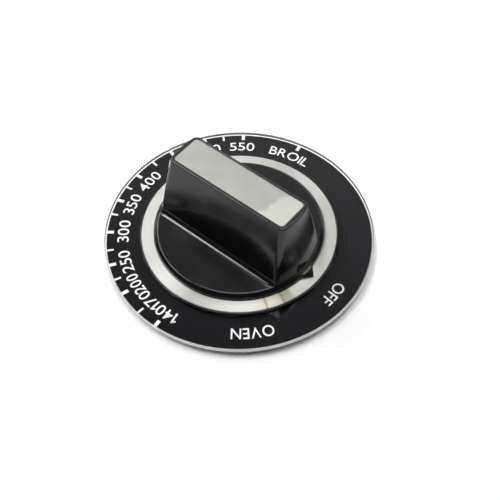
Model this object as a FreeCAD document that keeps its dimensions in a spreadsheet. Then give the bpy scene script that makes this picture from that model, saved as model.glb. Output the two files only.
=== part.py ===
import FreeCAD
import Part
import os
import re
import Sketcher

# Oven control knob: a bar grip handle on a round dial.
# The origin is the centre of the hub's end face, +Z points out of the oven's panel towards the grip,
# and +X points along the grip towards the pointer. All sizes are millimetres and degrees.

document = FreeCAD.newDocument("OvenKnob")

# Driving dimensions

SIZES = {
    # dial
    "dial_radius": 35.6,
    "dial_thickness": 1.6,
    "dial_edge": 0.2,
    "dial_stand_off": 2.4,
    "turn_clearance": 0.06,
    "slide_clearance": 0.05,
    "seat_clearance": 0.05,
    # handle: flange, base and grip, with heights above the dial's face
    "flange_lip": 0.55,
    "flange_thickness": 0.7,
    "flange_chamfer": 0.3,
    "base_radius": 22.4,
    "base_height": 2.6,
    "base_draft": 0.1,
    "base_chamfer": 0.85,
    "grip_height": 20.0,
    "grip_top_radius": 18.6,
    "grip_foot_setback": 0.15,
    "grip_top_width": 10.5,
    "grip_foot_width": 18.5,
    "grip_corner_round": 1.4,
    "grip_foot_round": 2.0,
    "grip_top_round": 0.3,
    "grip_end_wall": 2.2,
    "grip_core_length": 2.6,
    "grip_core_width": 5.0,
    "grip_roof": 2.6,
    "pointer_reach": 1.9,
    "pointer_width": 4.2,
    "pointer_root_height": 2.0,
    "pointer_tip_height": 1.5,
    # handle: hub, spigot and screw bosses behind the flange
    "hub_radius": 6.4,
    "spigot_wall": 2.8,
    "moat_roof": 1.4,
    # socket for a D-shaped oven shaft
    "socket_radius": 3.25,
    "socket_flat": 1.65,
    "socket_depth": 14.0,
    "spring_slot_width": 4.4,
    "spring_slot_depth": 1.0,
    "spring_slot_length": 12.0,
    # shaft spring
    "spring_thickness": 0.4,
    "spring_side_gap": 0.2,
    "spring_end_gap": 0.5,
    "spring_foot": 1.2,
    "spring_crest": 2.4,
    # grip inlay
    "inlay_end_border": 1.25,
    "inlay_side_border": 0.75,
    "inlay_thickness": 0.5,
    "inlay_proud": 0.1,
    "inlay_edge": 0.15,
    "inlay_corner": 1.0,
    # trim ring
    "ring_width": 3.25,
    "ring_thickness": 0.25,
    "ring_proud": 0.05,
    "ring_edge": 0.1,
    # locking plate and its row of notches
    "plate_overlap": 3.2,
    "plate_thickness": 0.8,
    "plate_hub_gap": 0.5,
    "notch_pitch": 3.57,
    "notch_depth": 0.8,
    "notch_width": 0.6,
    # the dial's stop key and its index arrow
    "stop_angle": 14.0,
    "stop_play": 1.0,
    "stop_depth": 1.6,
    "stop_clearance": 0.3,
    "index_gap": 0.4,
    "index_length": 2.4,
    "index_width": 2.0,
    "index_height": 0.8,
    # locking screws
    "screw_radius": 1.5,
    "screw_length": 9.0,
    "screw_tip": 1.0,
    "screw_head_radius": 2.7,
    "screw_head_height": 1.2,
    "screw_head_chamfer": 0.5,
    "screw_head_gap": 0.3,
    "screw_hole_clearance": 0.2,
    "screw_slot_width": 0.8,
    "screw_slot_length": 3.2,
    "screw_slot_depth": 0.6,
}

NOTCHES_EACH_WAY = 6
WHOLE_TURN = 360
INDEX_DIRECTION = 270

sheet = document.addObject("Spreadsheet::Sheet", "Sizes")
for row, (alias, number) in enumerate(SIZES.items(), start=1):
    sheet.set("A%d" % row, alias)
    sheet.set("B%d" % row, str(number))
    sheet.setAlias("B%d" % row, alias)
document.recompute()


# Derived levels, written as expressions on the sheet

def sized(formula):
    """Turn bare size names in a formula into references to the sheet."""
    def referred(word):
        return "Sizes." + word[0] if word[0] in SIZES else word[0]

    return re.sub(r"[a-z_]+", referred, formula)


DIAL_BACK = "dial_stand_off"
DIAL_FRONT = "(dial_stand_off + dial_thickness)"
SEAT = "(dial_stand_off + dial_thickness + slide_clearance)"
FLANGE_TOP = "(%s + flange_thickness)" % SEAT
GROOVE_FLOOR = "(%s + ring_proud - ring_thickness)" % FLANGE_TOP
LEDGE = "(%s + base_height)" % DIAL_FRONT
GRIP_TOP = "(%s + grip_height)" % DIAL_FRONT
SPIGOT_END = "(dial_stand_off - slide_clearance)"
MOAT_TOP = "(%s - moat_roof)" % LEDGE
PLATE_BACK = "(%s - plate_thickness)" % SPIGOT_END
RECESS_FLOOR = "(%s + inlay_proud - inlay_thickness)" % GRIP_TOP

RING_INNER = "(base_radius + seat_clearance)"
RING_OUTER = "(base_radius + seat_clearance + ring_width)"
GROOVE_OUTER = "(%s + seat_clearance)" % RING_OUTER
FLANGE_RADIUS = "(%s + flange_lip)" % GROOVE_OUTER
BASE_TOP_RADIUS = "(base_radius - base_draft)"
GRIP_FOOT_RADIUS = "(%s - base_chamfer - grip_foot_setback)" % BASE_TOP_RADIUS
POINTER_TIP = "(base_radius + pointer_reach)"
POINTER_ROOT = "(base_radius - pointer_reach)"
SCREW_PLACE = "(hub_radius + screw_head_gap + screw_head_radius)"
SPIGOT_RADIUS = "(%s + screw_head_radius + screw_head_gap)" % SCREW_PLACE
SPIGOT_BORE = "(%s - spigot_wall)" % SPIGOT_RADIUS
DIAL_BORE = "(%s + turn_clearance)" % SPIGOT_RADIUS
PLATE_RADIUS = "(%s + plate_overlap)" % SPIGOT_RADIUS
INLAY_HALF_LENGTH = "(grip_top_radius - inlay_end_border)"
INLAY_HALF_WIDTH = "(grip_top_width / 2 - inlay_side_border)"
RESET_ANGLE = "(notch_pitch * %d)" % NOTCHES_EACH_WAY


def value(formula):
    """The number that a formula on the sheet comes to."""
    return float(sheet.evalExpression(sized(formula)))


# Sketch and feature helpers

def origin_feature(body, role):
    """One of a body's own origin planes or axes."""
    return [item for item in body.Origin.OriginFeatures if item.Role == role][0]


def new_body(name):
    body = document.addObject("PartDesign::Body", name)
    body.Label = name
    return body


def new_sketch(body, name, plane, level="0"):
    """An empty sketch on an origin plane of its body, raised along that plane's normal."""
    sketch = body.newObject("Sketcher::SketchObject", name)
    sketch.AttachmentSupport = [(origin_feature(body, plane), "")]
    sketch.MapMode = "FlatFace"
    sketch.setExpression("AttachmentOffset.Base.z", sized(level))
    return sketch


def tie_point(sketch, geometry, end, across, up):
    """Hold one end of a line, or a circle's centre, at two formulas from the sketch origin."""
    for kind, formula in (("DistanceX", across), ("DistanceY", up)):
        index = sketch.addConstraint(Sketcher.Constraint(kind, -1, 1, geometry, end, value(formula)))
        sketch.setExpression("Constraints[%d]" % index, sized(formula))


def add_outline(sketch, corners):
    """A closed outline of straight runs through corners given as pairs of formulas. Gives its first run."""
    places = [FreeCAD.Vector(value(across), value(up), 0) for across, up in corners]
    first = sketch.GeometryCount
    count = len(corners)
    for index in range(count):
        sketch.addGeometry(Part.LineSegment(places[index], places[(index + 1) % count]), False)
    for index in range(count):
        following = first + (index + 1) % count
        sketch.addConstraint(Sketcher.Constraint("Coincident", first + index, 2, following, 1))
        tie_point(sketch, first + index, 1, *corners[index])
    return first


def round_run(sketch, line, centre, radius):
    """Put an arc of one formula's radius in the place of one straight run of an outline."""
    middle = FreeCAD.Vector(value(centre[0]), value(centre[1]), 0)
    circle = Part.Circle(middle, FreeCAD.Vector(0, 0, 1), value(radius))
    run = sketch.Geometry[line]
    ends = [(circle.parameter(run.StartPoint), 1), (circle.parameter(run.EndPoint), 2)]
    if (run.StartPoint - middle).cross(run.EndPoint - middle).z < 0:
        ends.reverse()
    arc = sketch.addGeometry(Part.ArcOfCircle(circle, ends[0][0], ends[1][0]), False)
    sketch.setConstruction(line, True)
    for arc_end, (_, line_end) in enumerate(ends, start=1):
        sketch.addConstraint(Sketcher.Constraint("Coincident", arc, arc_end, line, line_end))
    index = sketch.addConstraint(Sketcher.Constraint("Radius", arc, value(radius)))
    sketch.setExpression("Constraints[%d]" % index, sized(radius))


def add_circle(sketch, radius, across="0", up="0"):
    """A circle of one formula's radius."""
    centre = FreeCAD.Vector(value(across), value(up), 0)
    circle = Part.Circle(centre, FreeCAD.Vector(0, 0, 1), value(radius))
    geometry = sketch.addGeometry(circle, False)
    tie_point(sketch, geometry, 3, across, up)
    index = sketch.addConstraint(Sketcher.Constraint("Radius", geometry, value(radius)))
    sketch.setExpression("Constraints[%d]" % index, sized(radius))


def rectangle(low_across, high_across, low_up, high_up):
    return [
        (low_across, low_up),
        (high_across, low_up),
        (high_across, high_up),
        (low_across, high_up),
    ]


# faces in one plane stay apart, because the grip's corner rounds run out on the ledge's seams
MERGE_FACES = False


def feature(body, kind, name, sketch, **settings):
    """A PartDesign feature on a sketch; settings that are text formulas are bound to the sheet."""
    made = body.newObject("PartDesign::" + kind, name)
    made.Profile = sketch
    made.Refine = MERGE_FACES
    for setting, given in settings.items():
        if setting in ("Length", "Angle"):
            made.setExpression(setting, sized(given))
        else:
            setattr(made, setting, given)
    document.recompute()
    return made


def changed(body, name, before, sign):
    """Stop when a feature added or removed nothing."""
    step = (body.Shape.Volume - before) * sign
    if step <= 0:
        raise RuntimeError("%s changed the volume by %.4f" % (name, step))


def pad(body, name, sketch, length, **settings):
    before = body.Shape.Volume if body.Tip else 0
    made = feature(body, "Pad", name, sketch, Length=length, **settings)
    changed(body, name, before, 1)
    return made


def pocket(body, name, sketch, length, **settings):
    before = body.Shape.Volume
    made = feature(body, "Pocket", name, sketch, Length=length, **settings)
    changed(body, name, before, -1)
    return made


def revolve(body, name, sketch, angle=str(WHOLE_TURN), **settings):
    before = body.Shape.Volume if body.Tip else 0
    axis = (sketch, ["V_Axis"])
    made = feature(body, "Revolution", name, sketch, Angle=angle, ReferenceAxis=axis, **settings)
    changed(body, name, before, 1)
    return made


def groove(body, name, sketch, angle, **settings):
    before = body.Shape.Volume
    axis = (sketch, ["V_Axis"])
    made = feature(body, "Groove", name, sketch, Angle=angle, ReferenceAxis=axis, **settings)
    changed(body, name, before, -1)
    return made


SAME_PLACE = 0.001


def near(number, formula):
    return abs(number - value(formula)) < SAME_PLACE


def edge_points(edge):
    """Both ends and the middle of an edge."""
    first, last = edge.ParameterRange
    return [edge.valueAt(first), edge.valueAt((first + last) / 2), edge.valueAt(last)]


def edges_where(body, test):
    """Names of the edges whose ends and middle all pass a test on the point."""
    names = []
    for index, edge in enumerate(body.Shape.Edges, start=1):
        if all(test(point) for point in edge_points(edge)):
            names.append("Edge%d" % index)
    if not names:
        raise RuntimeError("no edge of %s is where it is looked for" % body.Label)
    return names


def dress(body, kind, name, test, setting, formula):
    """A fillet or chamfer on the edges that a test on their points picks out."""
    names = edges_where(body, test)
    base = body.Tip
    made = body.newObject("PartDesign::" + kind, name)
    made.Base = (base, names)
    made.Refine = MERGE_FACES
    made.setExpression(setting, sized(formula))
    document.recompute()
    return made


def radius_of(point):
    return (point.x ** 2 + point.y ** 2) ** 0.5


def on_circle(radius, level):
    """A test for points on a circle about the knob's axis."""
    return lambda point: near(radius_of(point), radius) and near(point.z, level)


def at_level(level):
    """A test for points at one height."""
    return lambda point: near(point.z, level)


# Handle

def build_handle():
    """One black moulding: hub, spigot, flange, base, bar grip and pointer."""
    body = new_body("knob_handle")

    # the turned form: hub, moat, spigot, flange with the trim ring's groove, base and grip cone
    profile = new_sketch(body, "handle_profile", "XZ_Plane")
    add_outline(profile, [
        ("0", "0"),
        ("hub_radius", "0"),
        ("hub_radius", MOAT_TOP),
        (SPIGOT_BORE, MOAT_TOP),
        (SPIGOT_BORE, SPIGOT_END),
        (SPIGOT_RADIUS, SPIGOT_END),
        (SPIGOT_RADIUS, SEAT),
        (FLANGE_RADIUS, SEAT),
        (FLANGE_RADIUS, FLANGE_TOP),
        (GROOVE_OUTER, FLANGE_TOP),
        (GROOVE_OUTER, GROOVE_FLOOR),
        ("base_radius", GROOVE_FLOOR),
        (BASE_TOP_RADIUS, LEDGE),
        (GRIP_FOOT_RADIUS, LEDGE),
        ("grip_top_radius", GRIP_TOP),
        ("0", GRIP_TOP),
    ])
    revolve(body, "handle_turning", profile)

    # two sloping cuts with a coved foot leave the bar grip standing across the base
    sides = new_sketch(body, "grip_sides", "YZ_Plane")
    lean = "atan((grip_foot_width - grip_top_width) / 2 / (%s - %s))" % (GRIP_TOP, LEDGE)
    cove_reach = "(grip_foot_round * tan(45 deg - %s / 2))" % lean
    cove_out = "(grip_foot_width / 2 + %s)" % cove_reach
    cove_in = "(grip_foot_width / 2 - %s * sin(%s))" % (cove_reach, lean)
    for sign in ("", "-1 * "):
        cove_run = add_outline(sides, [
            (sign + cove_out, LEDGE),
            (sign + cove_in, "%s + %s * cos(%s)" % (LEDGE, cove_reach, lean)),
            (sign + "grip_top_width / 2", GRIP_TOP),
            (sign + "base_radius", GRIP_TOP),
            (sign + "base_radius", LEDGE),
        ])
        cove_centre = (sign + cove_out, LEDGE + " + grip_foot_round")
        round_run(sides, cove_run, cove_centre, "grip_foot_round")
    pocket(body, "grip_side_cuts", sides, "2 * base_radius", SideType="Symmetric")

    # rounded corners that run out over the coves, and the bevelled rims of the base and the flange
    def on_corner(point):
        inside = value(LEDGE) - SAME_PLACE < point.z < value(GRIP_TOP) + SAME_PLACE
        share = (point.z - value(LEDGE)) / (value(GRIP_TOP) - value(LEDGE))
        half_foot = value("grip_foot_width / 2")
        half_width = half_foot + share * (value("grip_top_width / 2") - half_foot)
        foot = value(GRIP_FOOT_RADIUS)
        end = foot + share * (value("grip_top_radius") - foot)
        on_side = abs(abs(point.y) - half_width) < SAME_PLACE
        on_end = abs(radius_of(point) - end) < SAME_PLACE
        return inside and on_side and on_end

    dress(body, "Fillet", "grip_corner_rounds", on_corner, "Radius", "grip_corner_round")

    base_rim = on_circle(BASE_TOP_RADIUS, LEDGE)
    dress(body, "Chamfer", "base_rim_chamfer", base_rim, "Size", "base_chamfer")
    flange_rim = on_circle(FLANGE_RADIUS, FLANGE_TOP)
    dress(body, "Chamfer", "flange_rim_chamfer", flange_rim, "Size", "flange_chamfer")
    dress(body, "Fillet", "grip_top_rounds", at_level(GRIP_TOP), "Radius", "grip_top_round")

    # pointer: a wedge on the base's wall whose ridge falls towards its tip
    plan = new_sketch(body, "pointer_plan", "XY_Plane", GROOVE_FLOOR)
    add_outline(plan, [
        (POINTER_ROOT, "-1 * pointer_width"),
        (POINTER_TIP, "0"),
        (POINTER_ROOT, "pointer_width"),
    ])
    root_level = "(%s + pointer_root_height)" % DIAL_FRONT
    tip_level = "(%s + pointer_tip_height)" % DIAL_FRONT
    pad(body, "pointer_wedge", plan, "%s - %s" % (root_level, GROOVE_FLOOR))
    ridge = new_sketch(body, "pointer_ridge", "XZ_Plane")
    add_outline(ridge, [
        ("base_radius", root_level),
        (POINTER_TIP, tip_level),
        (POINTER_TIP + " + pointer_reach", tip_level),
        (POINTER_TIP + " + pointer_reach", root_level),
    ])
    pocket(body, "pointer_slope", ridge, "2 * pointer_width", SideType="Symmetric")

    # recess for the inlay
    recess = new_sketch(body, "inlay_recess_outline", "XY_Plane", GRIP_TOP)
    half_length = "(%s + seat_clearance)" % INLAY_HALF_LENGTH
    half_width = "(%s + seat_clearance)" % INLAY_HALF_WIDTH
    add_outline(recess, rectangle("-1 * " + half_length, half_length, "-1 * " + half_width, half_width))
    pocket(body, "inlay_recess", recess, "inlay_thickness - inlay_proud")

    def on_recess_corner(point):
        below_top = value(RECESS_FLOOR) - SAME_PLACE < point.z < value(GRIP_TOP) + SAME_PLACE
        return below_top and near(abs(point.x), half_length) and near(abs(point.y), half_width)

    recess_corner = "inlay_corner + seat_clearance"
    dress(body, "Fillet", "inlay_recess_corners", on_recess_corner, "Radius", recess_corner)

    # the grip is cored from behind so that its walls stay even
    core = new_sketch(body, "grip_core_outline", "XY_Plane", SEAT)
    core_half = "(grip_core_width / 2)"
    core_far = "(grip_top_radius - grip_end_wall)"
    core_near = "(%s - grip_core_length)" % core_far
    for sign in ("", "-1 * "):
        add_outline(core, rectangle(sign + core_near, sign + core_far, "-1 * " + core_half, core_half))
    pocket(body, "grip_core", core, "grip_height - slide_clearance - grip_roof", Reversed=True)

    # bosses in the moat, with holes for the locking screws
    bosses = new_sketch(body, "screw_boss_outline", "XY_Plane", SPIGOT_END)
    holes = new_sketch(body, "screw_hole_outline", "XY_Plane", SPIGOT_END)
    for sign in ("", "-1 * "):
        add_circle(bosses, "screw_head_radius", sign + SCREW_PLACE)
        add_circle(holes, "screw_radius + seat_clearance", sign + SCREW_PLACE)
    pad(body, "screw_bosses", bosses, "%s - %s + seat_clearance" % (MOAT_TOP, SPIGOT_END))
    pocket(body, "screw_holes", holes, "screw_length - plate_thickness + screw_tip", Reversed=True)

    # socket: a round bore with one flat, and a slot behind the flat for the spring
    socket = new_sketch(body, "socket_outline", "XY_Plane")
    add_circle(socket, "socket_radius")
    pocket(body, "socket_bore", socket, "socket_depth", Reversed=True)
    flat = new_sketch(body, "socket_flat_outline", "XY_Plane")
    add_outline(flat, rectangle(
        "socket_flat",
        "socket_radius + spring_thickness",
        "-1 * socket_radius",
        "socket_radius",
    ))
    pad(body, "socket_flat_wall", flat, "socket_depth")
    slot = new_sketch(body, "spring_slot_outline", "XY_Plane")
    slot_half = "(spring_slot_width / 2)"
    add_outline(slot, rectangle(
        "socket_flat - spring_thickness",
        "socket_flat + spring_slot_depth",
        "-1 * " + slot_half,
        slot_half,
    ))
    pocket(body, "spring_slot", slot, "spring_slot_length", Reversed=True)

    # gap in the spigot's wall where the dial's stop key swings
    gap = new_sketch(body, "stop_gap_profile", "YZ_Plane")
    gap_floor = "(%s - stop_depth - stop_clearance)" % SPIGOT_RADIUS
    add_outline(gap, rectangle(gap_floor, SPIGOT_RADIUS + " + stop_clearance", SPIGOT_END, SEAT))
    groove(body, "stop_gap", gap, "2 * %s + stop_angle + 2 * stop_play" % RESET_ANGLE, Midplane=True)
    return body


# Dial

def build_dial():
    """The clear disc that turns on the handle's spigot."""
    body = new_body("dial")
    disc = new_sketch(body, "dial_outline", "XY_Plane", DIAL_BACK)
    add_circle(disc, "dial_radius")
    add_circle(disc, DIAL_BORE)
    pad(body, "dial_disc", disc, "dial_thickness")

    def on_rim(point):
        on_face = near(point.z, DIAL_BACK) or near(point.z, DIAL_FRONT)
        return on_face and near(radius_of(point), "dial_radius")

    dress(body, "Chamfer", "dial_edges", on_rim, "Size", "dial_edge")

    # stop key, which reaches into the gap in the spigot's wall
    key = new_sketch(body, "stop_key_profile", "YZ_Plane")
    add_outline(key, rectangle(
        SPIGOT_RADIUS + " - stop_depth",
        DIAL_BORE + " + stop_depth",
        DIAL_BACK,
        DIAL_FRONT,
    ))
    revolve(body, "stop_key", key, "stop_angle", Midplane=True)

    # raised arrow on the back that shows which notch of the plate is in use
    arrow = new_sketch(body, "index_arrow_outline", "XY_Plane", DIAL_BACK)
    arrow_tip = "(%s + index_gap)" % PLATE_RADIUS
    add_outline(arrow, [
        ("0", "-1 * " + arrow_tip),
        ("index_width / 2", "-1 * (%s + index_length)" % arrow_tip),
        ("-1 * index_width / 2", "-1 * (%s + index_length)" % arrow_tip),
    ])
    pad(body, "index_arrow", arrow, "index_height", Reversed=True)
    return body


# Trim ring and inlay

def build_trim_ring():
    """The bright ring in the flange's groove, with a notch for the pointer."""
    body = new_body("trim_ring")
    ring = new_sketch(body, "ring_outline", "XY_Plane", GROOVE_FLOOR)
    add_circle(ring, RING_OUTER)
    add_circle(ring, RING_INNER)
    pad(body, "ring_band", ring, "ring_thickness")
    top = "(%s + ring_proud)" % FLANGE_TOP
    dress(body, "Chamfer", "ring_outer_edge", on_circle(RING_OUTER, top), "Size", "ring_edge")
    notch = new_sketch(body, "pointer_notch_outline", "XY_Plane", GROOVE_FLOOR)
    # the notch runs parallel to the pointer's sides, one clearance outside them
    spread = "(2 * pointer_reach / pointer_width)"
    room = "(seat_clearance * sqrt(1 + %s ^ 2))" % spread
    add_outline(notch, [
        (POINTER_ROOT, "-1 * (pointer_width + %s / %s)" % (room, spread)),
        ("%s + %s" % (POINTER_TIP, room), "0"),
        (POINTER_ROOT, "pointer_width + %s / %s" % (room, spread)),
    ])
    pocket(body, "pointer_notch", notch, "ring_thickness", Reversed=True)
    return body


def build_inlay():
    """The bright strip in the grip's top."""
    body = new_body("grip_inlay")
    strip = new_sketch(body, "inlay_outline", "XY_Plane", RECESS_FLOOR)
    add_outline(strip, rectangle(
        "-1 * " + INLAY_HALF_LENGTH,
        INLAY_HALF_LENGTH,
        "-1 * " + INLAY_HALF_WIDTH,
        INLAY_HALF_WIDTH,
    ))
    pad(body, "inlay_strip", strip, "inlay_thickness")

    def on_corner(point):
        return near(abs(point.x), INLAY_HALF_LENGTH) and near(abs(point.y), INLAY_HALF_WIDTH)

    dress(body, "Fillet", "inlay_corners", on_corner, "Radius", "inlay_corner")
    top = "(%s + inlay_thickness)" % RECESS_FLOOR
    dress(body, "Chamfer", "inlay_edges", at_level(top), "Size", "inlay_edge")
    return body


# Locking plate, screws and shaft spring

def build_locking_plate():
    """The plate that clamps the dial to the flange, with a row of notches on its edge."""
    body = new_body("locking_plate")
    plate = new_sketch(body, "plate_outline", "XY_Plane", PLATE_BACK)
    add_circle(plate, PLATE_RADIUS)
    add_circle(plate, "hub_radius + plate_hub_gap")
    for sign in ("", "-1 * "):
        add_circle(plate, "screw_radius + screw_hole_clearance", sign + SCREW_PLACE)
    pad(body, "plate_disc", plate, "plate_thickness")

    # the first notch of the row; the pattern carries it round to the other end
    notch = new_sketch(body, "notch_outline", "XY_Plane", PLATE_BACK)
    start = "(%d - %s)" % (INDEX_DIRECTION, RESET_ANGLE)
    floor = "(%s - notch_depth)" % PLATE_RADIUS
    mouth = "(%s + notch_depth)" % PLATE_RADIUS
    along = "cos(%s * 1 deg)" % start
    aside = "sin(%s * 1 deg)" % start

    def place(out, over):
        """A point at one distance along the notch's direction and another across it."""
        across = "%s * %s - %s * %s" % (out, along, over, aside)
        up = "%s * %s + %s * %s" % (out, aside, over, along)
        return across, up

    add_outline(notch, [
        place(floor, "0"),
        place(mouth, "notch_width"),
        place(mouth, "-1 * notch_width"),
    ])
    first_notch = pocket(body, "first_notch", notch, "plate_thickness", Reversed=True)
    before = body.Shape.Volume
    row = body.newObject("PartDesign::PolarPattern", "notch_row")
    row.Originals = [first_notch]
    row.Axis = (origin_feature(body, "Z_Axis"), [""])
    row.Occurrences = 2 * NOTCHES_EACH_WAY + 1
    row.setExpression("Angle", sized("2 * " + RESET_ANGLE))
    body.Tip = row
    document.recompute()
    changed(body, "notch_row", before, -1)
    return body


def build_locking_screws():
    """Two pan head screws, driven into the handle's bosses from behind."""
    body = new_body("locking_screw")
    profile = new_sketch(body, "screw_profile", "XZ_Plane")
    head_back = "(%s - screw_head_height)" % PLATE_BACK
    shank_end = "(%s + screw_length)" % PLATE_BACK
    add_outline(profile, [
        ("0", head_back),
        ("screw_head_radius", head_back),
        ("screw_head_radius", PLATE_BACK),
        ("screw_radius", PLATE_BACK),
        ("screw_radius", "%s - screw_tip" % shank_end),
        ("screw_radius / 2", shank_end),
        ("0", shank_end),
    ])
    revolve(body, "screw_turning", profile)
    rim = on_circle("screw_head_radius", head_back)
    dress(body, "Chamfer", "screw_head_rim", rim, "Size", "screw_head_chamfer")
    cross = new_sketch(body, "cross_slot_outline", "XY_Plane", head_back)
    half_slot = "(screw_slot_width / 2)"
    half_long = "(screw_slot_length / 2)"
    add_outline(cross, [
        ("-1 * " + half_long, "-1 * " + half_slot),
        ("-1 * " + half_slot, "-1 * " + half_slot),
        ("-1 * " + half_slot, "-1 * " + half_long),
        (half_slot, "-1 * " + half_long),
        (half_slot, "-1 * " + half_slot),
        (half_long, "-1 * " + half_slot),
        (half_long, half_slot),
        (half_slot, half_slot),
        (half_slot, half_long),
        ("-1 * " + half_slot, half_long),
        ("-1 * " + half_slot, half_slot),
        ("-1 * " + half_long, half_slot),
    ])
    pocket(body, "cross_slot", cross, "screw_slot_depth", Reversed=True)
    body.setExpression("Placement.Base.x", sized(SCREW_PLACE))
    document.recompute()

    mirrored = document.addObject("Part::Mirroring", "locking_screw_opposite")
    mirrored.Source = body
    mirrored.Normal = FreeCAD.Vector(1, 0, 0)
    pair = document.addObject("Part::Compound", "locking_screws")
    pair.Links = [body, mirrored]
    pair.Label = "locking_screws"
    document.recompute()
    return pair


def build_shaft_spring():
    """The bowed leaf that presses on the flat of the oven's shaft."""
    body = new_body("shaft_spring")
    bow = new_sketch(body, "spring_bow", "XZ_Plane")
    start = "spring_end_gap"
    end = "(spring_slot_length - spring_end_gap)"
    middle = "(spring_slot_length / 2)"
    back = "(socket_flat + spring_slot_depth - seat_clearance)"
    foot_face = "(%s - spring_thickness)" % back
    crest_back = "(socket_flat + spring_thickness)"
    low_crest = "(%s - spring_crest / 2)" % middle
    high_crest = "(%s + spring_crest / 2)" % middle
    add_outline(bow, [
        (back, start),
        (back, "%s + spring_foot" % start),
        (crest_back, low_crest),
        (crest_back, high_crest),
        (back, "%s - spring_foot" % end),
        (back, end),
        (foot_face, end),
        (foot_face, "%s - spring_foot" % end),
        ("socket_flat", high_crest),
        ("socket_flat", low_crest),
        (foot_face, "%s + spring_foot" % start),
        (foot_face, start),
    ])
    pad(body, "spring_leaf", bow, "spring_slot_width - 2 * spring_side_gap", SideType="Symmetric")
    return body


# Build, test and write every piece

pieces = [
    build_handle(),
    build_dial(),
    build_trim_ring(),
    build_inlay(),
    build_locking_plate(),
    build_locking_screws(),
    build_shaft_spring(),
]
document.recompute()

for item in document.Objects:
    if "Invalid" in item.State or "Error" in item.State:
        raise RuntimeError("%s did not build: %s" % (item.Label, item.State))
for piece in pieces:
    if piece.Shape.isNull() or not piece.Shape.isValid():
        raise RuntimeError("%s has no valid shape" % piece.Label)

os.makedirs("parts", exist_ok=True)
for piece in pieces:
    piece.Shape.exportStep("parts/%s.step" % piece.Label)
    box = piece.Shape.BoundBox
    print("%s: %d solids, %.1f mm3, z %.2f to %.2f" % (
        piece.Label, len(piece.Shape.Solids), piece.Shape.Volume, box.ZMin, box.ZMax))
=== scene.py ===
import math

import bpy
from bpy.props import FloatProperty, FloatVectorProperty, PointerProperty
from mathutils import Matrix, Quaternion, Vector


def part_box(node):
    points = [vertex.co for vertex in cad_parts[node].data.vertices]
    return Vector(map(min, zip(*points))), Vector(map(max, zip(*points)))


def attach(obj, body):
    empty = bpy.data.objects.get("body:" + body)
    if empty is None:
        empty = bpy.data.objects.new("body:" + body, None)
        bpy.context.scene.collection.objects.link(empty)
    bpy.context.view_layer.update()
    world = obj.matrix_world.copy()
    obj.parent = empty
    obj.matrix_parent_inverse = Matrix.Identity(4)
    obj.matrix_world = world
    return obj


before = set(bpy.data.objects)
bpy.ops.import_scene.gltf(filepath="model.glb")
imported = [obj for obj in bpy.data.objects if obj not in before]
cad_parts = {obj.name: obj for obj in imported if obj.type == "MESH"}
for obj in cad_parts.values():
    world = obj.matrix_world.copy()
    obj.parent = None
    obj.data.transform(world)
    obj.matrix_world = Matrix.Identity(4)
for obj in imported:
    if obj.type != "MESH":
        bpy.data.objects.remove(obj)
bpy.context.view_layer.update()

bl_info = {
    "name": "Oven Knob",
    "version": (1, 0, 0),
    "blender": (4, 5, 0),
    "location": "View3D > Sidebar > Oven Knob",
    "description": "Finishes, dial print and studio for an oven control knob with its own dial",
    "category": "Object",
}

MM = 0.001

DIAL_CORNER = Vector(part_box("dial")[1])
DIAL_RADIUS = DIAL_CORNER.x
# The disc alone: the dial's box also holds the arrow on its back.
DIAL_THICKNESS = 1.6 * MM
DIAL_BACK = DIAL_CORNER.z - DIAL_THICKNESS

# The temperature scale. Places are degrees clockwise from OFF, which lies at the pointer.
# A label has its text, its middle and the arc that it fills.
LABELS = (
    ("OFF", 0.0, 13.1),
    ("OVEN", 44.4, 19.9),
    ("140", 86.0, 11.6),
    ("170", 97.6, 11.6),
    ("200", 109.3, 11.6),
    ("250", 123.4, 13.0),
    ("300", 142.0, 13.3),
    ("350", 159.4, 12.9),
    ("400", 176.4, 13.9),
    ("450", 196.6, 13.3),
    ("500", 214.0, 13.2),
    ("550", 232.2, 13.2),
    ("BROIL", 258.5, 22.2),
)
WIDE_TICKS = (86.7, 107.9, 123.6, 141.4, 159.6, 176.0, 196.6, 214.0, 232.7, 260.3)
THIN_TICKS = (96.3, 115.7, 131.5, 151.4, 167.8, 186.3, 206.0, 223.1)


def linear(code):
    """Turn an sRGB hex colour into the linear colour that shaders take."""
    channels = [int(code[place:place + 2], 16) / 255 for place in (1, 3, 5)]
    curved = [c / 12.92 if c <= 0.04045 else ((c + 0.055) / 1.055) ** 2.4 for c in channels]
    return (*curved, 1.0)


# Settings

class HandleSettings(bpy.types.PropertyGroup):
    """Finish of the moulded handle."""
    colour: FloatVectorProperty(
        name="Plastic", description="Colour of the moulded plastic", subtype="COLOR", size=4,
        min=0, max=1, default=linear("#111113"))
    roughness: FloatProperty(
        name="Roughness", description="Roughness of the polished mould", subtype="FACTOR",
        min=0, max=1, default=0.17)
    ripple: FloatProperty(
        name="Ripple", description="Width of the faint ripple that moulding leaves", subtype="DISTANCE",
        unit="LENGTH", default=2.2 * MM)
    edge_round: FloatProperty(
        name="Edge Round", description="Softening of the moulded edges", subtype="DISTANCE",
        unit="LENGTH", default=0.7 * MM)


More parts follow.
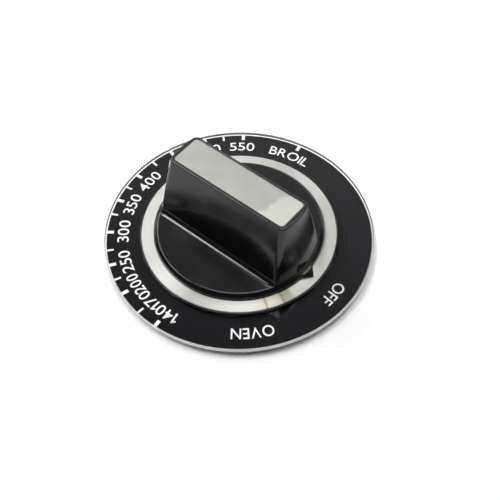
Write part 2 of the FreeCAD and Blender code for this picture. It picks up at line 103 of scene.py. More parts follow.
class TrimSettings(bpy.types.PropertyGroup):
    """Finish of the aluminium inlay and ring."""
    colour: FloatVectorProperty(
        name="Aluminium", description="Colour of the bright aluminium", subtype="COLOR", size=4,
        min=0, max=1, default=linear("#c9c9c4"))
    inlay_colour: FloatVectorProperty(
        name="Inlay", description="Colour of the satin inlay", subtype="COLOR", size=4,
        min=0, max=1, default=linear("#a5a6a0"))
    # Real brush and turning lines are too fine for the render, so both grains are drawn as coarse
    # as they need to show.
    inlay_grain: FloatProperty(
        name="Inlay Grain", description="Spacing of the inlay's lengthwise brush lines", subtype="DISTANCE",
        unit="LENGTH", default=0.22 * MM)
    edge_round: FloatProperty(
        name="Edge Round", description="Softening of the inlay's rim", subtype="DISTANCE",
        unit="LENGTH", default=0.25 * MM)
    # Painted highlight: the inlay's end is painted brighter, as if light caught it.
    painted_highlight_colour: FloatVectorProperty(
        name="Painted Highlight Inlay", description="Colour of the inlay's end, painted bright as a highlight", subtype="COLOR", size=4,
        min=0, max=1, default=linear("#bdbeb6"))
    painted_highlight_start: FloatProperty(
        name="Painted Highlight Start", description="Where the inlay's painted highlight begins", subtype="DISTANCE",
        unit="LENGTH", default=10.75 * MM)
    # Painted reflection: the pointer and the grip mirrored in the ring's near side, painted in as a beige
    # band.
    ring_painted_reflection: FloatVectorProperty(
        name="Ring Painted Reflection", description="Colour of the reflection painted on the ring", subtype="COLOR", size=4,
        min=0, max=1, default=linear("#c5c1b0"))
    # Painted reflection: the grip's edges mirrored in the ring, painted in as darker lines.
    ring_reflection_streak: FloatVectorProperty(
        name="Ring Reflection Streak", description="Colour of the reflection streaks painted on the ring", subtype="COLOR", size=4,
        min=0, max=1, default=linear("#88846f"))
    ring_grain: FloatProperty(
        name="Ring Grain", description="Spacing of the ring's turned lines", subtype="DISTANCE",
        unit="LENGTH", default=0.2 * MM)


class DialSettings(bpy.types.PropertyGroup):
    """The clear dial and what is printed on its back."""
    acrylic: FloatVectorProperty(
        name="Acrylic", description="Tint of the clear acrylic", subtype="COLOR", size=4,
        min=0, max=1, default=linear("#fdfdfb"))
    black_ink: FloatVectorProperty(
        name="Black Ink", description="Colour of the ground", subtype="COLOR", size=4,
        min=0, max=1, default=linear("#19191c"))
    white_ink: FloatVectorProperty(
        name="White Ink", description="Colour of the scale", subtype="COLOR", size=4,
        min=0, max=1, default=linear("#e9e9ea"))
    clear_rim: FloatProperty(
        name="Clear Rim", description="Width of the unprinted rim", subtype="DISTANCE",
        unit="LENGTH", default=0.6 * MM)
    ink_film: FloatProperty(
        name="Ink Film", description="Thickness of each layer of ink", subtype="DISTANCE",
        unit="LENGTH", default=0.03 * MM)
    # Painted shade: a dark band on the lowest part of the dial's edge stands in for the shade under the
    # disc.
    painted_edge_shade: FloatProperty(
        name="Painted Edge Shade", description="How far the painted shade reaches up the dial's edge", subtype="DISTANCE",
        unit="LENGTH", default=0.35 * MM)
    bore_margin: FloatProperty(
        name="Bore Margin", description="Radius where the black ground starts", subtype="DISTANCE",
        unit="LENGTH", default=12.7 * MM)
    text_radius: FloatProperty(
        name="Text Radius", description="Radius of the middle of the words", subtype="DISTANCE",
        unit="LENGTH", default=30.75 * MM)
    text_height: FloatProperty(
        name="Text Height", description="Height of the numbers and capitals", subtype="DISTANCE",
        unit="LENGTH", default=3.05 * MM)
    text_gap: FloatProperty(
        name="Text Gap", description="Gap between the letters of a word", subtype="DISTANCE",
        unit="LENGTH", default=0.42 * MM)
    tick_length: FloatProperty(
        name="Tick Length", description="Length of the scale's ticks", subtype="DISTANCE",
        unit="LENGTH", default=1.75 * MM)
    wide_tick: FloatProperty(
        name="Wide Tick", description="Width of the ticks that have a label", subtype="DISTANCE",
        unit="LENGTH", default=0.92 * MM)
    thin_tick: FloatProperty(
        name="Thin Tick", description="Width of the ticks in between", subtype="DISTANCE",
        unit="LENGTH", default=0.55 * MM)


class HardwareSettings(bpy.types.PropertyGroup):
    """Finish of the steel pieces behind the dial."""
    zinc: FloatVectorProperty(
        name="Zinc", description="Colour of the zinc plating", subtype="COLOR", size=4,
        min=0, max=1, default=linear("#c3c6c9"))
    blued: FloatVectorProperty(
        name="Blued Steel", description="Colour of the blued spring", subtype="COLOR", size=4,
        min=0, max=1, default=linear("#4a5260"))


class StageSettings(bpy.types.PropertyGroup):
    """Floor, lights and camera."""
    floor: FloatVectorProperty(
        name="Floor", description="Colour of the floor", subtype="COLOR", size=4,
        min=0, max=1, default=linear("#fdfdfd"))
    surroundings: FloatProperty(
        name="Surroundings", description="Brightness of the dim room round the stage", default=0.03)
    window: FloatProperty(
        name="Window", description="Brightness of the room's one soft window", default=0.8)
    lens: FloatProperty(
        name="Lens", description="Focal length in millimetres", default=60.0)


class OvenKnobSettings(bpy.types.PropertyGroup):
    """All the settings of the knob."""
    handle: PointerProperty(type=HandleSettings)
    trim: PointerProperty(type=TrimSettings)
    dial: PointerProperty(type=DialSettings)
    hardware: PointerProperty(type=HardwareSettings)
    stage: PointerProperty(type=StageSettings)


# Material helpers

def add_node(tree, kind, inputs, settings=None):
    """Add one node; an input that is another node's output is linked, any other is set."""
    node = tree.nodes.new(kind)
    for name, given in (settings or {}).items():
        setattr(node, name, given)
    for name, given in inputs.items():
        if isinstance(given, bpy.types.NodeSocket):
            tree.links.new(given, node.inputs[name])
        else:
            node.inputs[name].default_value = given
    return node


def new_material(name):
    """An empty material, its tree, its output node and its object coordinates."""
    material = bpy.data.materials.new(name)
    material.use_nodes = True
    tree = material.node_tree
    tree.nodes.clear()
    output = add_node(tree, "ShaderNodeOutputMaterial", {})
    place = add_node(tree, "ShaderNodeTexCoord", {}).outputs["Object"]
    return material, tree, output, place


# Most of a noise texture's values lie within this spread.
NOISE_SPREAD = {"From Min": 0.3, "From Max": 0.7}
# How often the softened edges are sampled.
EDGE_SAMPLES = 8


def noise_scale(feature):
    """Noise scale for features of a real size in metres."""
    return 1 / feature


def from_axis(tree, place):
    """A point as seen along the knob's axis, and its distance from that axis."""
    flat = add_node(tree, "ShaderNodeVectorMath", {
        0: place,
        1: (1.0, 1.0, 0.0),
    }, {"operation": "MULTIPLY"})
    radius = add_node(tree, "ShaderNodeVectorMath", {
        0: flat.outputs["Vector"],
    }, {"operation": "LENGTH"})
    return flat.outputs["Vector"], radius.outputs["Value"]


PLASTIC_IOR = 1.55
RIPPLE_DEPTH = 0.02 * MM
RIPPLE_STRENGTH = 0.06
HAZE_SIZE = 7 * MM
HAZE_CHANGE = 0.2


def moulded_plastic(handle):
    """Black thermoset moulded in a polished tool: deep gloss with a very faint ripple."""
    material, tree, output, place = new_material("moulded_black_phenolic")
    ripple = add_node(tree, "ShaderNodeTexNoise", {
        "Vector": place,
        "Scale": noise_scale(handle.ripple),
        "Detail": 1.0,
    })
    soft_edge = add_node(tree, "ShaderNodeBevel", {"Radius": handle.edge_round}, {"samples": EDGE_SAMPLES})
    bump = add_node(tree, "ShaderNodeBump", {
        "Height": ripple.outputs["Fac"],
        "Strength": RIPPLE_STRENGTH,
        "Distance": RIPPLE_DEPTH,
        "Normal": soft_edge.outputs["Normal"],
    })
    haze = add_node(tree, "ShaderNodeTexNoise", {
        "Vector": place,
        "Scale": noise_scale(HAZE_SIZE),
        "Detail": 4.0,
    })
    rough = add_node(tree, "ShaderNodeMapRange", {
        "Value": haze.outputs["Fac"],
        **NOISE_SPREAD,
        "To Min": (1 - HAZE_CHANGE) * handle.roughness,
        "To Max": (1 + HAZE_CHANGE) * handle.roughness,
    })
    shader = add_node(tree, "ShaderNodeBsdfPrincipled", {
        "Base Color": handle.colour,
        "Roughness": rough.outputs["Result"],
        "IOR": PLASTIC_IOR,
        "Normal": bump.outputs["Normal"],
    })
    tree.links.new(shader.outputs["BSDF"], output.inputs["Surface"])
    return material


# The inlay's end is painted brighter, a painted highlight, from a slanted line.
PAINTED_HIGHLIGHT_ACROSS = (1.0, -0.28, 0.0)
PAINTED_HIGHLIGHT_FADE = 0.7 * MM
PAINTED_HIGHLIGHT_WAVER = 5.0 * MM
MOTTLE_SIZE = 5 * MM
MOTTLE_SPREAD = {"From Min": 0.4, "From Max": 0.65}
MOTTLE_SHARE = 0.25
# The brush lines run along X, so the noise is drawn out that way.
BRUSH_STRETCH = (0.02, 1.0, 1.0)
BRUSH_STRENGTH = 0.04
BRUSH_DEPTH = 0.005 * MM
INLAY_ROUGHNESS = (0.48, 0.52)


def brushed_aluminium(trim):
    """Satin aluminium strip: fine brush lines along its length spread the light across it."""
    material, tree, output, place = new_material("brushed_satin_aluminium")
    stretched = add_node(tree, "ShaderNodeMapping", {
        "Vector": place,
        "Scale": BRUSH_STRETCH,
    })
    grain = add_node(tree, "ShaderNodeTexNoise", {
        "Vector": stretched.outputs["Vector"],
        "Scale": noise_scale(trim.inlay_grain),
        "Detail": 3.0,
    })
    soft_edge = add_node(tree, "ShaderNodeBevel", {"Radius": trim.edge_round}, {"samples": EDGE_SAMPLES})
    along = add_node(tree, "ShaderNodeVectorMath", {
        0: place,
        1: PAINTED_HIGHLIGHT_ACROSS,
    }, {"operation": "DOT_PRODUCT"})
    handling = add_node(tree, "ShaderNodeTexNoise", {
        "Vector": place,
        "Scale": noise_scale(MOTTLE_SIZE),
        "Detail": 3.0,
    })
    wavering = add_node(tree, "ShaderNodeMath", {
        0: handling.outputs["Fac"],
        1: PAINTED_HIGHLIGHT_WAVER,
        2: along.outputs["Value"],
    }, {"operation": "MULTIPLY_ADD"})
    # Painted highlight: past the wavering slanted line, the inlay's end takes the brighter colour.
    painted_highlight = add_node(tree, "ShaderNodeMapRange", {
        "Value": wavering.outputs["Value"],
        "From Min": trim.painted_highlight_start + PAINTED_HIGHLIGHT_WAVER / 2,
        "From Max": trim.painted_highlight_start + PAINTED_HIGHLIGHT_WAVER / 2 + PAINTED_HIGHLIGHT_FADE,
    })
    mottled = add_node(tree, "ShaderNodeMapRange", {
        "Value": handling.outputs["Fac"],
        **MOTTLE_SPREAD,
        "To Max": MOTTLE_SHARE,
    })
    # The painted highlight and the strip's own random mottle together set how much of the brighter colour
    # each spot takes.
    highlight_and_mottle = add_node(tree, "ShaderNodeMath", {
        0: painted_highlight.outputs["Result"],
        1: mottled.outputs["Result"],
    }, {"operation": "MAXIMUM"})
    tone = add_node(tree, "ShaderNodeMix", {
        "Factor": highlight_and_mottle.outputs["Value"],
        "A": trim.inlay_colour,
        "B": trim.painted_highlight_colour,
    }, {"data_type": "RGBA"})
    bump = add_node(tree, "ShaderNodeBump", {
        "Height": grain.outputs["Fac"],
        "Strength": BRUSH_STRENGTH,
        "Distance": BRUSH_DEPTH,
        "Normal": soft_edge.outputs["Normal"],
    })
    rough = add_node(tree, "ShaderNodeMapRange", {
        "Value": grain.outputs["Fac"],
        **NOISE_SPREAD,
        "To Min": INLAY_ROUGHNESS[0],
        "To Max": INLAY_ROUGHNESS[1],
    })
    shader = add_node(tree, "ShaderNodeBsdfPrincipled", {
        "Base Color": tone.outputs["Result"],
        "Metallic": 1.0,
        "Roughness": rough.outputs["Result"],
        "Normal": bump.outputs["Normal"],
    })
    tree.links.new(shader.outputs["BSDF"], output.inputs["Surface"])
    return material


# Each painted reflection on the ring: middle, half width and soft edge in degrees round it, and strength.
RING_PAINTED_REFLECTIONS = (
    (-28.8, 8.5, 4.5, 0.9),
)
# The first is the fading end of the painted reflection, the others are fine painted reflection lines.
RING_REFLECTION_STREAKS = (
    (-20.8, 2.2, 2.0, 0.5),
    (-34.6, 0.2, 1.0, 0.8),
    (-24.3, 0.2, 1.0, 0.8),
)
TURNED_STRENGTH = 0.03
TURNED_DEPTH = 0.005 * MM
HANDLING_SIZE = 4 * MM
RING_ROUGHNESS = (0.38, 0.42)
RING_ANISOTROPY = 0.85


def turned_aluminium(trim):
    """Bright aluminium ring: fine turned circles that fan the light out along each radius."""
    material, tree, output, place = new_material("turned_bright_aluminium")
    flat, radius = from_axis(tree, place)
    outward = add_node(tree, "ShaderNodeVectorMath", {0: flat}, {"operation": "NORMALIZE"})
    grain = add_node(tree, "ShaderNodeTexNoise", {
        "W": radius,
        "Scale": noise_scale(trim.ring_grain),
        "Detail": 3.0,
    }, {"noise_dimensions": "1D"})
    bump = add_node(tree, "ShaderNodeBump", {
        "Height": grain.outputs["Fac"],
        "Strength": TURNED_STRENGTH,
        "Distance": TURNED_DEPTH,
    })
    handling = add_node(tree, "ShaderNodeTexNoise", {
        "Vector": place,
        "Scale": noise_scale(HANDLING_SIZE),
        "Detail": 4.0,
    })
    rough = add_node(tree, "ShaderNodeMapRange", {
        "Value": handling.outputs["Fac"],
        **NOISE_SPREAD,
        "To Min": RING_ROUGHNESS[0],
        "To Max": RING_ROUGHNESS[1],
    })
    apart = add_node(tree, "ShaderNodeSeparateXYZ", {"Vector": place})
    around = add_node(tree, "ShaderNodeMath", {
        0: apart.outputs["Y"],
        1: apart.outputs["X"],
    }, {"operation": "ARCTAN2"})
    tone = trim.colour
    # Painted reflections of the pointer and the grip, laid onto the ring's colour as bands round the axis.
    marks = [(trim.ring_painted_reflection, mark) for mark in RING_PAINTED_REFLECTIONS]
    marks += [(trim.ring_reflection_streak, mark) for mark in RING_REFLECTION_STREAKS]
    for colour, (middle, half, soft, strength) in marks:
        beside = add_node(tree, "ShaderNodeMath", {
            0: around.outputs["Value"],
            1: math.radians(middle),
        }, {"operation": "SUBTRACT"})
        away = add_node(tree, "ShaderNodeMath", {
            0: beside.outputs["Value"],
        }, {"operation": "ABSOLUTE"})
        share = add_node(tree, "ShaderNodeMapRange", {
            "Value": away.outputs["Value"],
            "From Min": math.radians(half),
            "From Max": math.radians(half + soft),
            "To Min": strength,
            "To Max": 0.0,
        })
        tone = add_node(tree, "ShaderNodeMix", {
            "Factor": share.outputs["Result"],
            "A": tone,
            "B": colour,
        }, {"data_type": "RGBA"}).outputs["Result"]
    shader = add_node(tree, "ShaderNodeBsdfPrincipled", {
        "Base Color": tone,
        "Metallic": 1.0,
        "Roughness": rough.outputs["Result"],
        "Anisotropic": RING_ANISOTROPY,
        "Tangent": outward.outputs["Vector"],
        "Normal": bump.outputs["Normal"],
    })
    tree.links.new(shader.outputs["BSDF"], output.inputs["Surface"])
    return material


ACRYLIC_IOR = 1.49
WAVE_SIZE = 9 * MM
WAVE_DEPTH = 0.02 * MM
WAVE_STRENGTH = 0.05
FACE_ROUGHNESS = 0.02
EDGE_ROUGHNESS = 0.5
EDGE_CLEARNESS = 0.15
# The satin edge begins just inside the disc's wall.
EDGE_START = DIAL_RADIUS - 0.22 * MM
EDGE_FULL = DIAL_RADIUS - 0.15 * MM
# How softly the painted shade on the edge fades out.
EDGE_SHADE_FADE = 0.05 * MM


def clear_acrylic(dial):
    """Cast acrylic: polished faces, and a satin edge that glows with the light round it, with painted shade
    along the edge's lowest strip.
    """
    material, tree, output, place = new_material("clear_cast_acrylic")
    wave = add_node(tree, "ShaderNodeTexNoise", {
        "Vector": place,
        "Scale": noise_scale(WAVE_SIZE),
        "Detail": 1.0,
    })
    bump = add_node(tree, "ShaderNodeBump", {
        "Height": wave.outputs["Fac"],
        "Strength": WAVE_STRENGTH,
        "Distance": WAVE_DEPTH,
    })
    radius = from_axis(tree, place)[1]
    edge = {"Value": radius, "From Min": EDGE_START, "From Max": EDGE_FULL}
    rough = add_node(tree, "ShaderNodeMapRange", {
        **edge,
        "To Min": FACE_ROUGHNESS,
        "To Max": EDGE_ROUGHNESS,
    })
    clear = add_node(tree, "ShaderNodeMapRange", {
        **edge,
        "To Min": 1.0,
        "To Max": EDGE_CLEARNESS,
    })
    on_edge = add_node(tree, "ShaderNodeMapRange", edge)
    # Painted shade: the lowest strip of the satin edge takes the black ink's colour, standing in for the
    # shade under the disc.
    low = add_node(tree, "ShaderNodeMapRange", {
        "Value": add_node(tree, "ShaderNodeSeparateXYZ", {"Vector": place}).outputs["Z"],
        "From Min": DIAL_BACK + dial.painted_edge_shade,
        "From Max": DIAL_BACK + dial.painted_edge_shade + EDGE_SHADE_FADE,
        "To Min": 1.0,
        "To Max": 0.0,
    })
    painted_shade_mask = add_node(tree, "ShaderNodeMath", {
        0: on_edge.outputs["Result"],
        1: low.outputs["Result"],
    }, {"operation": "MULTIPLY"})
    tone = add_node(tree, "ShaderNodeMix", {
        "Factor": painted_shade_mask.outputs["Value"],
        "A": dial.acrylic,
        "B": dial.black_ink,
    }, {"data_type": "RGBA"})
    shader = add_node(tree, "ShaderNodeBsdfPrincipled", {
        "Base Color": tone.outputs["Result"],
        "Roughness": rough.outputs["Result"],
        "IOR": ACRYLIC_IOR,
        "Transmission Weight": clear.outputs["Result"],
        "Normal": bump.outputs["Normal"],
    })
    tree.links.new(shader.outputs["BSDF"], output.inputs["Surface"])
    return material


# A real screen's mesh is finer; this is as fine as the render can show.
MESH_PITCH = 0.3 * MM
INK_ROUGHNESS = 0.55
THINNEST_INK = 0.95


def screen_ink(name, colour):
    """Screen printed ink: an even film with the faint grain of the screen's mesh."""
    material, tree, output, place = new_material(name)
    grain = add_node(tree, "ShaderNodeTexNoise", {
        "Vector": place,
        "Scale": noise_scale(MESH_PITCH),
        "Detail": 2.0,
    })
    tone = add_node(tree, "ShaderNodeMapRange", {
        "Value": grain.outputs["Fac"],
        **NOISE_SPREAD,
        "To Min": THINNEST_INK,
        "To Max": 1.0,
    })
    shade = add_node(tree, "ShaderNodeMix", {
        "Factor": tone.outputs["Result"],
        "A": (0.0, 0.0, 0.0, 1.0),
        "B": colour,
    }, {"data_type": "RGBA"})
    shader = add_node(tree, "ShaderNodeBsdfPrincipled", {
        "Base Color": shade.outputs["Result"],
        "Roughness": INK_ROUGHNESS,
        "Specular IOR Level": 0.0,
    })
    tree.links.new(shader.outputs["BSDF"], output.inputs["Surface"])
    return material


# Each steel finish: its roughness and the size of its patches of tone.
ZINC = (0.34, 3 * MM)
BLUED = (0.28, 2 * MM)
PATCH_DEPTH = 0.02 * MM
PATCH_STRENGTH = 0.08
SMOOTHEST_PATCH = 0.8
ROUGHEST_PATCH = 1.25


def plated_steel(name, colour, roughness, patch):
    """Plated or blued steel: a soft metallic sheen with faint patches of tone."""
    material, tree, output, place = new_material(name)
    patches = add_node(tree, "ShaderNodeTexNoise", {
        "Vector": place,
        "Scale": noise_scale(patch),
        "Detail": 5.0,
    })
    rough = add_node(tree, "ShaderNodeMapRange", {
        "Value": patches.outputs["Fac"],
        **NOISE_SPREAD,
        "To Min": SMOOTHEST_PATCH * roughness,
        "To Max": ROUGHEST_PATCH * roughness,
    })
    bump = add_node(tree, "ShaderNodeBump", {
        "Height": patches.outputs["Fac"],
        "Strength": PATCH_STRENGTH,
        "Distance": PATCH_DEPTH,
    })
    shader = add_node(tree, "ShaderNodeBsdfPrincipled", {
        "Base Color": colour,
        "Metallic": 1.0,
        "Roughness": rough.outputs["Result"],
        "Normal": bump.outputs["Normal"],
    })
    tree.links.new(shader.outputs["BSDF"], output.inputs["Surface"])
    return material


LAMINATE_IOR = 1.45
LAMINATE_GRAIN = 40 * MM
LAMINATE_ROUGHNESS = (0.45, 0.55)


def stage_laminate(colour):
    """White satin laminate: a bright, even floor with hardly a reflection."""
    material, tree, output, place = new_material("white_satin_laminate")
    grain = add_node(tree, "ShaderNodeTexNoise", {
        "Vector": place,
        "Scale": noise_scale(LAMINATE_GRAIN),
        "Detail": 2.0,
    })
    rough = add_node(tree, "ShaderNodeMapRange", {
        "Value": grain.outputs["Fac"],
        "To Min": LAMINATE_ROUGHNESS[0],
        "To Max": LAMINATE_ROUGHNESS[1],
    })
    shader = add_node(tree, "ShaderNodeBsdfPrincipled", {
        "Base Color": colour,
        "Roughness": rough.outputs["Result"],
        "IOR": LAMINATE_IOR,
    })
    tree.links.new(shader.outputs["BSDF"], output.inputs["Surface"])
    return material


def dress_node(node, material):
    """Give a CAD node its finish."""
    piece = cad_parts[node]
    piece.data.materials.clear()
    piece.data.materials.append(material)
    return piece


# Modelling helpers

def settle(piece, name, material):
    """Put a finished piece's place into its mesh, and give it its name and finish."""
    bpy.ops.object.transform_apply(location=True, rotation=True, scale=True)
    piece.name = name
    piece.data.name = name
    piece.data.materials.clear()
    piece.data.materials.append(material)
    return piece


def only(piece):
    """Select one piece and make it active."""
    bpy.ops.object.select_all(action="DESELECT")
    piece.select_set(True)
    bpy.context.view_layer.objects.active = piece


def join(pieces):
    """Join pieces into the first of them."""
    only(pieces[0])
    for piece in pieces:
        piece.select_set(True)
    bpy.ops.object.join()
    return bpy.context.object


RIM_SEGMENTS = 256


def ink_ring(inner, outer, low, thickness):
    """A thin flat ring of ink between two radii."""
    bpy.ops.object.select_all(action="DESELECT")
    bpy.ops.mesh.primitive_circle_add(vertices=RIM_SEGMENTS, radius=outer, location=(0, 0, low))
    ring = bpy.context.object
    bpy.ops.object.mode_set(mode="EDIT")
    bpy.ops.mesh.select_all(action="SELECT")
    bpy.ops.mesh.extrude_edges_move()
    share = inner / outer
    bpy.ops.transform.resize(value=(share, share, 1), center_override=(0, 0, low))
    bpy.ops.mesh.select_all(action="SELECT")
    bpy.ops.mesh.normals_make_consistent(inside=False)
    bpy.ops.object.mode_set(mode="OBJECT")
    wall = ring.modifiers.new("film", "SOLIDIFY")
    wall.thickness = thickness
    wall.offset = -1.0 if ring.data.polygons[0].normal.z < 0 else 1.0
    bpy.ops.object.modifier_apply(modifier="film")
    return ring


# Bfont at size 1 draws its numbers this high once the strokes are thickened.
GLYPH_HEIGHT = 0.705
STROKE_GAIN = 0.004
GLYPH_HALF_DEPTH = 0.5
CURVE_STEPS = 6
# The flag of the number one: its size, lean and place.
FLAG_SIZE = (0.09, 0.27)
FLAG_LEAN = math.radians(-48)
FLAG_PLACE = (-0.075, 0.575)


def glyph_mesh(character):
    """One letter or number as a thin solid, as drawn at size 1."""
    bpy.ops.object.select_all(action="DESELECT")
    bpy.ops.object.text_add()
    glyph = bpy.context.object
    glyph.data.body = character
    glyph.data.align_x = "CENTER"
    glyph.data.offset = STROKE_GAIN
    glyph.data.extrude = GLYPH_HALF_DEPTH
    glyph.data.resolution_u = CURVE_STEPS
    bpy.ops.object.convert(target="MESH")
    glyph = bpy.context.object
    if character == "1":
        bpy.ops.mesh.primitive_cube_add(size=1)
        flag = bpy.context.object
        flag.scale = (*FLAG_SIZE, 1)
        flag.rotation_euler.z = FLAG_LEAN
        left = spread(glyph, 0)[0]
        flag.location = (left + FLAG_PLACE[0] + FLAG_SIZE[0] / 2, FLAG_PLACE[1], 0)
        bpy.ops.object.transform_apply(location=True, rotation=True, scale=True)
        glyph = join([glyph, flag])
    return glyph


def spread(piece, axis):
    """Lowest and highest vertex of a piece along one axis of its own."""
    along = [vertex.co[axis] for vertex in piece.data.vertices]
    return min(along), max(along)


def print_label(text, middle, arc, dial, low):
    """The glyphs of one label, set round the dial with their tops outwards."""
    glyphs = [glyph_mesh(character) for character in text]
    spans = [spread(glyph, 0) for glyph in glyphs]
    tall = dial.text_height / GLYPH_HEIGHT
    natural = sum(high - low_end for low_end, high in spans) * tall
    length = math.radians(arc) * dial.text_radius
    gaps = dial.text_gap * (len(text) - 1)
    stretch = (length - gaps) / natural
    start = -length / 2
    foot = dial.text_radius - dial.text_height / 2
    for glyph, (low_end, high) in zip(glyphs, spans):
        width = (high - low_end) * tall * stretch
        turn = -math.radians(middle) - (start + width / 2) / dial.text_radius
        across = -(low_end + high) / 2 * tall * stretch
        out = Vector((math.cos(turn), math.sin(turn), 0))
        aside = Vector((math.sin(turn), -math.cos(turn), 0))
        only(glyph)
        glyph.scale = (tall * stretch, tall, dial.ink_film)
        glyph.rotation_euler.z = turn - math.pi / 2
        glyph.location = out * foot + aside * across + Vector((0, 0, low + dial.ink_film / 2))
        bpy.ops.object.transform_apply(location=True, rotation=True, scale=True)
        start += width + dial.text_gap
    return glyphs


def print_tick(place, width, dial, low):
    """One tick at the edge of the black ground."""
    outer = DIAL_RADIUS - dial.clear_rim
    middle = outer - dial.tick_length / 2
    turn = -math.radians(place)
    bpy.ops.object.select_all(action="DESELECT")
    bpy.ops.mesh.primitive_cube_add(size=1)
    tick = bpy.context.object
    tick.scale = (dial.tick_length, width, dial.ink_film)
    tick.rotation_euler.z = turn
    tick.location = (middle * math.cos(turn), middle * math.sin(turn), low + dial.ink_film / 2)
    bpy.ops.object.transform_apply(location=True, rotation=True, scale=True)
    return tick


# Operators

class OVENKNOB_OT_finish_handle(bpy.types.Operator):
    """Give the handle its moulded gloss black"""
    bl_idname = "oven_knob.finish_handle"
    bl_label = "Finish Handle"

    def execute(self, context):
        handle = context.scene.oven_knob.handle
        dress_node("knob_handle", moulded_plastic(handle))
        return {"FINISHED"}


class OVENKNOB_OT_finish_trim(bpy.types.Operator):
    """Give the inlay and the ring their aluminium finishes"""
    bl_idname = "oven_knob.finish_trim"
    bl_label = "Finish Trim"

    def execute(self, context):
        trim = context.scene.oven_knob.trim
        dress_node("grip_inlay", brushed_aluminium(trim))
        dress_node("trim_ring", turned_aluminium(trim))
        return {"FINISHED"}


class OVENKNOB_OT_finish_dial(bpy.types.Operator):
    """Make the dial clear, so that its print shows through it"""
    bl_idname = "oven_knob.finish_dial"
    bl_label = "Finish Dial"

    def execute(self, context):
        disc = dress_node("dial", clear_acrylic(context.scene.oven_knob.dial))
        disc.visible_shadow = False
        return {"FINISHED"}


class OVENKNOB_OT_print_dial(bpy.types.Operator):
    """Print the black ground, the numbers, the words and the ticks on the dial's back"""
    bl_idname = "oven_knob.print_dial"
    bl_label = "Print Dial"

    def execute(self, context):
        dial = context.scene.oven_knob.dial
        black = screen_ink("black_screen_ink", dial.black_ink)
        white = screen_ink("white_screen_ink", dial.white_ink)

        # The films bite into each other and the disc's back, so that no two faces lie in one plane.
        bite = dial.ink_film / 3
        low = DIAL_BACK - bite
        ground = ink_ring(dial.bore_margin, DIAL_RADIUS - dial.clear_rim, low, dial.ink_film)
        settle(ground, "dial_ground", black)

        level = DIAL_BACK + bite
        marks = []
        for text, middle, arc in LABELS:
            marks += print_label(text, middle, arc, dial, level)
        for place in WIDE_TICKS:
            marks.append(print_tick(place, dial.wide_tick, dial, level))
        for place in THIN_TICKS:
            marks.append(print_tick(place, dial.thin_tick, dial, level))
        scale = settle(join(marks), "dial_scale", white)

        for piece in (ground, scale):
            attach(piece, "dial")
        return {"FINISHED"}


class OVENKNOB_OT_finish_hardware(bpy.types.Operator):
    """Give the steel pieces behind the dial their finishes"""
    bl_idname = "oven_knob.finish_hardware"
    bl_label = "Finish Hardware"

    def execute(self, context):
        hardware = context.scene.oven_knob.hardware
        zinc = plated_steel("zinc_plated_steel", hardware.zinc, *ZINC)
        dress_node("locking_plate", zinc)
        dress_node("locking_screws", zinc)
        dress_node("shaft_spring", plated_steel("blued_spring_steel", hardware.blued, *BLUED))
        return {"FINISHED"}


FLOOR_SIZE = 6.0
CAMERA_PLACE = Vector((0.08592, -0.10025, 0.18004))
CAMERA_TARGET = Vector((0, 0, 0.004))
CAMERA_ROLL = math.radians(-1.49)
CAMERA_SHIFT = (0.02204, -0.0394)

# name, direction round the knob and height above it in degrees, distance, width, height, brightness
SOFTBOXES = (
    ("overhead_softbox", 130.0, 84.0, 1.2, 0.6, 0.6, 5.0),
    ("key_softbox", 207.0, 56.0, 1.1, 0.62, 0.27, 12.5),
    ("left_softbox", 172.0, 43.0, 1.1, 0.9, 0.2, 8.0),
    ("back_softbox", 98.0, 64.0, 1.1, 0.3, 0.3, 5.0),
    ("right_softbox", 42.0, 36.0, 1.1, 0.8, 0.5, 1.8),
)

# The window's middle, and how far from it its light fades out, as cosines of the angle.
WINDOW = (-0.470, 0.814, 0.342)
WINDOW_FADE = 0.74
WINDOW_FULL = 0.96


def aim(thing, target):
    """The turn that points a camera or light at a target."""
    return (target - thing.location).to_track_quat("-Z", "Y")


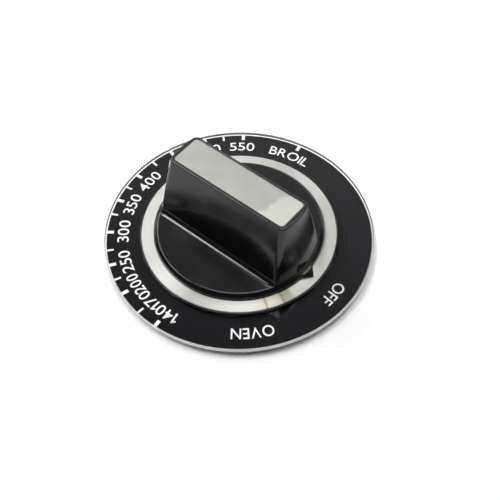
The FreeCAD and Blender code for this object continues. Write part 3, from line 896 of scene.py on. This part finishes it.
class OVENKNOB_OT_set_stage(bpy.types.Operator):
    """Lay the floor, hang the lights and place the camera"""
    bl_idname = "oven_knob.set_stage"
    bl_label = "Set Stage"

    def execute(self, context):
        scene = context.scene
        stage = scene.oven_knob.stage
        bpy.ops.object.select_all(action="DESELECT")
        bpy.ops.mesh.primitive_plane_add(size=FLOOR_SIZE)
        floor = settle(context.object, "stage_floor", stage_laminate(stage.floor))

        for name, around, above, distance, width, height, brightness in SOFTBOXES:
            bpy.ops.object.light_add(type="AREA")
            lamp = context.object
            lamp.name = name
            lamp.data.shape = "ELLIPSE"
            lamp.data.size = width
            lamp.data.size_y = height
            area = math.pi / 4 * width * height
            lamp.data.energy = brightness * math.pi * area
            flat = distance * math.cos(math.radians(above))
            lamp.location = (
                flat * math.cos(math.radians(around)),
                flat * math.sin(math.radians(around)),
                distance * math.sin(math.radians(above)),
            )
            lamp.rotation_euler = aim(lamp, CAMERA_TARGET).to_euler()

        world = bpy.data.worlds.new("studio_room")
        world.use_nodes = True
        room = world.node_tree
        towards = add_node(room, "ShaderNodeVectorMath", {
            0: add_node(room, "ShaderNodeTexCoord", {}).outputs["Generated"],
            1: WINDOW,
        }, {"operation": "DOT_PRODUCT"})
        glow = add_node(room, "ShaderNodeMapRange", {
            "Value": towards.outputs["Value"],
            "From Min": WINDOW_FADE,
            "From Max": WINDOW_FULL,
            "To Min": stage.surroundings,
            "To Max": stage.window,
        })
        backdrop = room.nodes["Background"]
        backdrop.inputs["Color"].default_value = (1, 1, 1, 1)
        room.links.new(glow.outputs["Result"], backdrop.inputs["Strength"])
        scene.world = world

        bpy.ops.object.camera_add(location=CAMERA_PLACE)
        camera = context.object
        camera.data.lens = stage.lens
        camera.data.shift_x, camera.data.shift_y = CAMERA_SHIFT
        camera.data.clip_start = MM
        roll = Quaternion((0, 0, 1), CAMERA_ROLL)
        camera.rotation_euler = (aim(camera, CAMERA_TARGET) @ roll).to_euler()
        scene.camera = camera
        scene.view_settings.view_transform = "Standard"
        return {"FINISHED"}


OPERATORS = (
    OVENKNOB_OT_finish_handle,
    OVENKNOB_OT_finish_trim,
    OVENKNOB_OT_finish_dial,
    OVENKNOB_OT_print_dial,
    OVENKNOB_OT_finish_hardware,
    OVENKNOB_OT_set_stage,
)


class OVENKNOB_PT_panel(bpy.types.Panel):
    """The knob's steps and settings"""
    bl_label = "Oven Knob"
    bl_idname = "OVENKNOB_PT_panel"
    bl_space_type = "VIEW_3D"
    bl_region_type = "UI"
    bl_category = "Oven Knob"

    def draw(self, context):
        for operator in OPERATORS:
            self.layout.operator(operator.bl_idname)
        settings = context.scene.oven_knob
        for group in (settings.handle, settings.trim, settings.dial, settings.hardware, settings.stage):
            box = self.layout.box()
            for name in group.bl_rna.properties.keys():
                if name not in ("rna_type", "name"):
                    box.prop(group, name)


CLASSES = (
    HandleSettings,
    TrimSettings,
    DialSettings,
    HardwareSettings,
    StageSettings,
    OvenKnobSettings,
    *OPERATORS,
    OVENKNOB_PT_panel,
)


def register():
    for each in CLASSES:
        bpy.utils.register_class(each)
    bpy.types.Scene.oven_knob = PointerProperty(type=OvenKnobSettings)


def unregister():
    del bpy.types.Scene.oven_knob
    for each in reversed(CLASSES):
        bpy.utils.unregister_class(each)


def main():
    register()
    bpy.ops.oven_knob.finish_handle()
    bpy.ops.oven_knob.finish_trim()
    bpy.ops.oven_knob.finish_dial()
    bpy.ops.oven_knob.print_dial()
    bpy.ops.oven_knob.finish_hardware()
    bpy.ops.oven_knob.set_stage()


if __name__ == "__main__":
    main()
